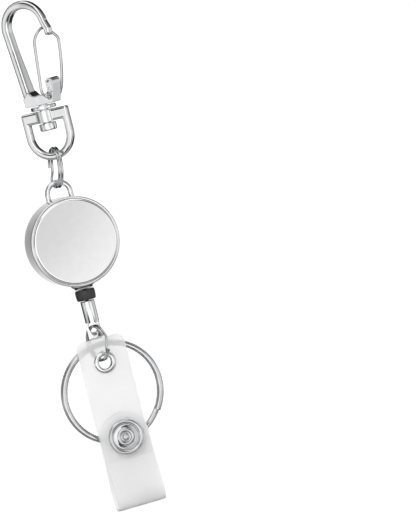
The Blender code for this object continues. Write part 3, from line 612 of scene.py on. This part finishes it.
def case(face, side):
    """The cup-shaped back shell, and the front cover pressed into it, whose face is slightly crowned."""
    legs = (BAIL_WIDTH - BAIL_WIRE) / 2
    outer, inner, floor = CUP_RADIUS, CUP_RADIUS - SHEET, CUP_BACK - SHEET
    back = [(0, CUP_BACK)] + arc((outer - CUP_CORNER, CUP_BACK - CUP_CORNER), CUP_CORNER, 90, 0, 14)
    back += [(outer, 2.0), (outer + 0.02, 0.0), (outer, CUP_RIM + 0.9)]
    back += arc((outer - 0.42, CUP_RIM + 0.35), 0.42, 0, -90, 8) + [(outer - 0.75, CUP_RIM + 0.02)]
    back += [(inner - 0.2, CUP_RIM + 0.12), (inner, CUP_RIM + 0.9)]
    back += [(inner, floor - 0.5), (inner - 0.5, floor), (0, floor)]
    cup = finished("back_cup", turned(back, 192, "Y"), side, (0, 0, CASE_Z))
    steps = [("DIFFERENCE", finished("neck", neck_drill(), side, (0, 0, CASE_Z - CUP_RADIUS)))]
    for sign in (-1, 1):
        drill = turned([(0, 2), (BAIL_HOLE, 2), (BAIL_HOLE, -5), (0, -5)], 32)
        tool = finished(f"leg_{sign}", drill, side, (sign * legs, BAIL_Y, BAIL_HOLE_Z))
        steps.append(("DIFFERENCE", tool))
    dress(carve(cup, steps), "reel", "case", "back_case")

    outer, inner, high = COVER_RADIUS + 0.1, COVER_RADIUS - SHEET, -COVER_FACE
    flat = outer - COVER_SHOULDER
    lid = [(flat * k / 24, high - CROWN * (k / 24) ** 2) for k in range(25)]
    lid += arc((flat, high - CROWN - COVER_SHOULDER), COVER_SHOULDER, 88, 0, 18)
    lid += [(outer, -COVER_EDGE), (inner, -COVER_EDGE), (inner, high - 1.7)]
    lid += [(inner - 0.7, high - COVER_SHEET), (0, high - COVER_SHEET)]
    cover = finished("cover_shell", turned([(r, -y) for r, y in lid], 192, "Y"), face, (0, 0, CASE_Z))
    steps = [("DIFFERENCE", finished("neck", neck_drill(), side, (0, 0, CASE_Z - CUP_RADIUS)))]
    dress(carve(cover, steps), "reel", "case", "front_cover")


def neck_drill():
    return turned([(0, 4), (NECK_BORE, 4), (NECK_BORE, -4), (0, -4)], 48)


def bail(look):
    radius = (BAIL_WIDTH - BAIL_WIRE) / 2
    centre = (0, BAIL_TOP - BAIL_WIRE / 2 - radius)
    line = [(radius, BAIL_END), (radius, BAIL_STRAIGHT)] + arc(centre, radius, 0, 180, 48)
    line += [(-radius, BAIL_STRAIGHT), (-radius, BAIL_END)]
    bm = tube([(x, BAIL_Y, z) for x, z in line], BAIL_WIRE / 2, 24)
    dress(finished("bail_wire", bm, look), "reel", "chrome", "bail")


def nozzle(look):
    bore = CORD / 2 + 0.9
    bell = [(bore, NOZZLE_TOP), (NOZZLE_NECK, NOZZLE_TOP), (NOZZLE_NECK, NOZZLE_LEDGE), (4.3, NOZZLE_LEDGE)]
    bell += [(4.35, -97.75), (3.6, -98.3), (3.35, -98.6), (3.3, NOZZLE_BOTTOM), (bore, NOZZLE_BOTTOM)]
    bm = turned(rounded(bell, (0.1, 0.2, 0, 0, 0.35, 0.5, 0.2, 0.25, 0.2), 5), 96)
    piece = finished("bell", bm, look)
    far = 8
    outer, inner = CUP_RADIUS + 0.08, CUP_RADIUS - 1.5
    ring = turned([(inner, far), (outer, far), (outer, -far), (inner, -far)], 192, "Y")
    saddle = finished("saddle", ring, look, (0, 0, CASE_Z))
    core = turned([(0, 0), (NOZZLE_NECK, 0), (NOZZLE_NECK, -far), (0, -far)], 96)
    carve(saddle, [("DIFFERENCE", finished("core", core, look, (0, 0, SADDLE_TOP)))])
    dress(carve(piece, [("DIFFERENCE", saddle)]), "reel", "chrome", "cord_nozzle")


def pull(look, black, cord):
    """The stopper, the rod with its cut end, and the cord that draws out between nozzle and rod."""
    wide, top, bottom = STOPPER
    inner, outer = CORD / 2 + GAP, wide / 2
    ring = [(inner, top), (outer - 0.12, top), (outer, (top + bottom) / 2)]
    ring += [(outer - 0.25, bottom), (inner, bottom)]
    bm = turned(rounded(ring, (0.15, 0.6, 1.2, 0.45, 0.15), 8), 96)
    dress(finished("bumper", bm, black), "rod", "rubber", "stopper")
    wide, top, bottom = ROD
    outer, bore = wide / 2, ROD_BORE / 2
    line = [(inner, top), (outer, top), (outer, bottom), (0, bottom), (0, ROD_CUT - 0.7)]
    line += [(bore, ROD_CUT - 0.7), (bore, top - 1.0), (inner, top - 1.0)]
    rod = finished("rod_tube", turned(rounded(line, (0.1, 0.35, 1.1, 0, 0, 0, 0, 0), 6), 96), look)
    cut = extruded([(-4, ROD_CUT), (-4, bottom - 2), (4, bottom - 2), (4, ROD_CUT)], -4, TONGUE_FRONT)
    reach = TONGUE_HOLE / 2 + 0.12
    drill = turned([(0, -4), (reach, -4), (reach, 4), (0, 4)], 48, "Y")
    steps = [("DIFFERENCE", finished("cut", cut, look))]
    steps.append(("DIFFERENCE", finished("drill", drill, look, (0, 0, TONGUE_HOLE_Z))))
    carve(rod, steps)
    bevelled(rod, 0.16)
    dress(rod, "rod", "chrome", "pull_rod")

    start, end = NOZZLE_BOTTOM + 0.6, STOPPER[1] - 0.3
    between = [start + (end - start) * k / 24 for k in range(1, 24)]
    heights = [start + 0.6, start, *between, end, TAIL_BOTTOM]
    bm = tube([(0, 0, z) for z in heights], CORD / 2, 16)
    taut = finished("drawn_cord", bm, cord)
    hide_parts("cord_tail")
    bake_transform(taut)


# Strap


def leg_line(y, top, side, corner):
    """The (y, z) line of a strap leg: straight past the snap, then bowed out to the fold."""
    steps = 16
    line = [(y, top - corner * (1 - cos(pi / 2 * i / steps))) for i in range(steps + 1)]
    line += [(y, line[-1][1] + (STRAIGHT_END - line[-1][1]) * k / 24) for k in range(1, 25)]
    fold_y, fold_z = FOLD
    bulge = fold_y + side * 3.1
    given = [(y, STRAIGHT_END, 0), (y + (bulge - y) * 0.55, -166.0, 0), (bulge, -172.0, 0)]
    given += [(fold_y + side * 2.1, -175.9, 0), (fold_y, fold_z, 0)]
    return line + [(p.x, p.y) for p in smooth_route(given, 10)[1:]]


def sheet_rings(line, corner):
    """Sections of the strap along a line, with slightly rounded long edges."""
    path = [Vector(p) for p in line]
    last = len(path) - 1
    rings = []
    for i, point in enumerate(path):
        along = (path[min(i + 1, last)] - path[max(i - 1, 0)]).normalized()
        out = Vector((-along.y, along.x)) * STRAP_SHEET / 2
        inset = max(corner - (point - path[0]).length, 0.0)
        half = max(STRAP_WIDTH / 2 - (corner - sqrt(max(corner**2 - inset**2, 0.0))), 0.5)
        shape = []
        across = [half * (1 - 2 * k / 14) for k in range(15)]
        for x in across:
            shape.append((x, point + out * (1.0 if abs(x) < half - 0.01 else 0.6)))
        for x in reversed(across):
            shape.append((x, point - out * (1.0 if abs(x) < half - 0.01 else 0.6)))
        rings.append([(x, p.x, p.y) for x, p in shape])
    return rings


def strap(look):
    """One vinyl band from the eyelet down the back, round the fold and up to the snap."""
    down = leg_line(STRAP_Y, STRAP_TOP, 1, STRAP_CORNER)
    up = leg_line(FLAP_Y, SNAP_Z + STRAP_WIDTH / 2, -1, STRAP_WIDTH / 2)
    back = sheet_rings(down, STRAP_CORNER)
    front = sheet_rings(up, STRAP_WIDTH / 2)
    half = len(front[0]) // 2
    turned_over = [ring[half:][::-1] + ring[:half][::-1] for ring in front]
    band = finished("vinyl_band", loft(back[:-1] + turned_over[-2::-1]), look, (STRAP_X, 0, 0))
    tools = []
    for tag, z, radius, low, high in (
        ("eye", EYELET_Z, EYELET_HOLE / 2 + 0.5, -2.2, 1.5),
        ("snap_back", SNAP_Z, SNAP_DRILL, -2.0, 1.5),
        ("snap_front", SNAP_Z, SNAP_DRILL, -5.0, -2.2),
    ):
        drill = turned([(0, low), (radius, low), (radius, high), (0, high)], 40, "Y")
        tools.append(("DIFFERENCE", finished(tag, drill, look, (STRAP_X, 0, z))))
    carve(band, tools)
    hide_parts("strap_back")
    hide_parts("strap_flap")
    clear, z = STRAP_SHEET / 2 + 0.02, FOLD[1]
    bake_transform(band)


def ring_piece(name, outline, radii, look, z, body, slot, node):
    bm = turned(rounded(outline, radii, 5), 96, "Y")
    dress(finished(name, bm, look, (STRAP_X, 0, z)), body, slot, node)


def fittings(look, cap_look, dull):
    """The eyelet and the press stud."""
    half = STRAP_SHEET / 2
    near, far = STRAP_Y - half, STRAP_Y + half
    hole, rim = EYELET_HOLE / 2, EYELET_RIM / 2
    barrel = hole + 0.35
    outline = [(hole, near - 0.5), (hole + 0.5, near - 0.85), (rim - 0.5, near - 0.75), (rim, near - 0.25)]
    outline += [(rim, near - 0.03), (barrel, near - 0.03), (barrel, far + 0.7), (hole, far + 0.7)]
    eyelet = (look, EYELET_Z, "strap", "chrome")
    ring_piece("eyelet_flange", outline, (0.3, 0.3, 0.5, 0.3, 0.1, 0, 0.1, 0.1), *eyelet, "eyelet_front")
    inner, outer, low, high = barrel + 0.1, rim - 0.2, far + 0.03, far + 0.6
    outline = [(inner, low), (outer, low), (outer, high), (inner, high)]
    ring_piece("eyelet_washer", outline, (0.1, 0.2, 0.3, 0.15), *eyelet, "eyelet_back")

    ball = FLAP_Y + half + 0.75
    outline = [(0, far + 0.95), (3.3, far + 0.8), (3.9, far + 0.35), (3.9, far + 0.03), (0.9, far + 0.03)]
    outline += [(0.9, ball + 0.9), (0, ball + 0.9)]
    radii = (0, 0.6, 0.3, 0.1, 0, 0.1, 0)
    ring_piece("post_head", outline, radii, look, SNAP_Z, "strap", "chrome", "snap_post")
    outline = [(1.2, near - 0.03), (4.6, near - 0.03), (4.6, near - 0.6), (2.2, near - 0.7)]
    outline += [(2.3, ball + 0.3), (1.9, ball), (1.2, ball)]
    radii = (0, 0.1, 0.25, 0.2, 0.25, 0.2, 0)
    ring_piece("stud", outline, radii, dull, SNAP_Z, "strap", "steel", "snap_stud")
    inner, outer = FLAP_Y + half, FLAP_Y - half - 0.03
    lip = near - 0.7
    outline = [(1.8, inner + 0.03), (5.0, inner + 0.03), (5.0, lip)]
    outline += [(2.7, lip), (2.7, inner + 0.4), (1.8, inner + 0.4)]
    radii = (0, 0.1, 0.25, 0.15, 0, 0.1)
    ring_piece("socket", outline, radii, dull, SNAP_Z, "flap", "steel", "snap_socket")
    r = SNAP / 2
    outline = [
        (0, outer - 1.2), (0.9, outer - 1.2), (1.3, outer - 0.45), (1.75, outer - 0.5), (2.1, outer - 1.05),
        (2.75, outer - 1.05), (3.1, outer - 0.75), (4.0, outer - 0.35), (4.5, outer - 0.3),
        (4.75, outer - 1.75), (5.9, outer - 1.95), (r, outer - 1.2), (r, outer - 0.3), (r - 0.5, outer),
        (1.5, outer), (1.5, FLAP_Y + half), (0, FLAP_Y + half),
    ]
    radii = (0, 0.5, 0.3, 0.25, 0.3, 0.3, 0.3, 0.3, 0.25, 0.55, 0.55, 0.5, 0.3, 0.2, 0, 0, 0)
    ring_piece("snap_ring", outline, radii, cap_look, SNAP_Z, "flap", "chrome", "snap_cap")


# Stage


def world():
    """A white tent around the camera, with dark flags beyond its edge that outline polished metal.

    The tent's axis is the photograph's line of sight, and stays there in every view.
    """
    made = bpy.data.worlds.new("studio")
    bpy.context.scene.world = made
    made.use_nodes = True
    nodes = Nodes(made.node_tree)
    background = made.node_tree.nodes["Background"]
    way = nodes.add("ShaderNodeTexCoord").outputs["Generated"]
    total = None
    layers = [("MULTIPLY", line_of_sight(), TENT)] + [("MULTIPLY", *flag) for flag in FLAGS]
    for operation, axis, stops in layers + [("ADD", *box) for box in SOFTBOXES]:
        near = nodes.add("ShaderNodeVectorMath", {"operation": "DOT_PRODUCT"})
        nodes.feed(near, 0, way)
        nodes.feed(near, 1, Vector(axis).normalized())
        angle = nodes.add("ShaderNodeMath", {"operation": "ARCCOSINE"})
        nodes.feed(angle, 0, near.outputs["Value"])
        share = nodes.add("ShaderNodeMath", {"operation": "DIVIDE"})
        nodes.feed(share, 0, angle.outputs["Value"])
        nodes.feed(share, 1, pi)
        ramp = nodes.add("ShaderNodeValToRGB", Fac=share.outputs["Value"])
        elements = ramp.color_ramp.elements
        while len(elements) < len(stops):
            elements.new(0.5)
        for element, (degrees, value) in zip(elements, stops):
            element.position = degrees / 180
            element.color = (value, value, value, 1.0)
        if total is None:
            total = ramp.outputs["Color"]
            continue
        both = nodes.add("ShaderNodeVectorMath", {"operation": operation})
        nodes.feed(both, 0, total)
        nodes.feed(both, 1, ramp.outputs["Color"])
        total = both.outputs["Vector"]
    nodes.feed(background, "Color", total)
    nodes.feed(background, "Strength", WORLD_STRENGTH)


def stage():
    """A pale floor that sweeps up all round, and a soft key light above the object."""
    look, nodes, shader = principled("sweep", Roughness=0.9, Emission_Strength=0.58)
    tone = nodes.mix(nodes.noise(0.002, 2.0), (0.75, 0.75, 0.75), (0.71, 0.71, 0.71))
    nodes.feed(shader, "Base Color", tone)
    nodes.feed(shader, "Emission Color", (1.0, 1.0, 1.0, 1.0))
    profile = [(0.01, 0)] + arc((SWEEP_RADIUS - SWEEP_CURVE, SWEEP_CURVE), SWEEP_CURVE, -90, 0, 12)
    bm = bmesh.new()
    line = [bm.verts.new((r, 0, z)) for r, z in profile + [(SWEEP_RADIUS, SWEEP_HEIGHT)]]
    edges = [bm.edges.new(pair) for pair in zip(line, line[1:])]
    bmesh.ops.spin(
        bm, geom=line + edges, cent=(0, 0, 0), axis=(0, 0, 1), angle=tau, steps=96, use_merge=True
    )
    sweep = finished("sweep", bm, look, (0, 0, FLOOR_Z))
    sweep.visible_glossy = sweep.visible_diffuse = sweep.visible_shadow = False
    light = bpy.data.lights.new("key", "AREA")
    light.energy = KEY_POWER
    light.size = KEY_SIZE * MM
    key = bpy.data.objects.new("key", light)
    bpy.context.scene.collection.objects.link(key)
    place, aim = Vector(KEY_PLACE), Vector(KEY_AIM)
    key.location = place * MM
    key.rotation_euler = (aim - place).to_track_quat("-Z", "Y").to_euler()
    key.visible_glossy = False


def line_of_sight():
    """The way from the object to the camera."""
    flat = cos(CAMERA_RISE)
    return Vector((sin(CAMERA_AZIMUTH) * flat, -cos(CAMERA_AZIMUTH) * flat, sin(CAMERA_RISE)))


def camera():
    """A long lens, turned to the object's left and rolled, so that the reel hangs aslant."""
    right = Vector((cos(CAMERA_AZIMUTH), sin(CAMERA_AZIMUTH), 0))
    back = line_of_sight()
    up = back.cross(right)
    x_axis = right * cos(CAMERA_LEAN) - up * sin(CAMERA_LEAN)
    y_axis = right * sin(CAMERA_LEAN) + up * cos(CAMERA_LEAN)
    lens = bpy.data.cameras.new("camera")
    lens.sensor_width = SENSOR
    lens.lens = SENSOR * CAMERA_DISTANCE / FRAME_HEIGHT
    lens.clip_start, lens.clip_end = 0.01, 50
    eye = bpy.data.objects.new("camera", lens)
    bpy.context.scene.collection.objects.link(eye)
    turn = Matrix((x_axis, y_axis, back)).transposed().to_4x4()
    eye.matrix_world = Matrix.Translation((Vector(CAMERA_AIM) + back * CAMERA_DISTANCE) * MM) @ turn
    bpy.context.scene.camera = eye


def carried_over(frame, looks):
    """Gives the frame's own inner pieces their finish."""
    for node, look in looks.items():
        slots = frame["nodes"][node].material_slots
        for slot in slots:
            slot.material = look


def main():
    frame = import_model()
    bpy.context.scene.view_settings.view_transform = "Standard"
    camera()
    world()
    stage()
    plate = chrome("chrome", (0.88, 0.885, 0.89), (0.8, 0.805, 0.815), (0.04, 0.1), 0.0015)
    face = chrome("cover_chrome", (0.93, 0.93, 0.935), (0.9, 0.9, 0.91), (0.05, 0.09), 0.0003)
    side = chrome("case_chrome", (0.84, 0.84, 0.845), (0.78, 0.785, 0.79), (0.12, 0.2), 0.0008)
    # Painted shade: a darker copy of the plate's chrome for the gate, the split rings and the snap's cap,
    # so that they read as dark as their reflections make them.
    wire = chrome("wire_chrome_painted_shade", (0.72, 0.725, 0.735), (0.6, 0.605, 0.615), (0.03, 0.08), 0.001)
    metal, black, clear, plastic, nylon = steel(), rubber(), vinyl(), moulded(), cord_material()
    hook(plate)
    gate(wire)
    swivel(plate)
    rings(wire)
    case(face, side)
    bail(plate)
    nozzle(plate)
    pull(plate, black, nylon)
    strap(clear)
    fittings(plate, wire, metal)
    inner = {"centre_post": metal, "power_spring": metal, "cord_ferrule": metal}
    inner.update({"spool": plastic, "spool_cover": plastic, "cord_winding": nylon, "cord_lead": nylon})
    carried_over(frame, inner)


main()
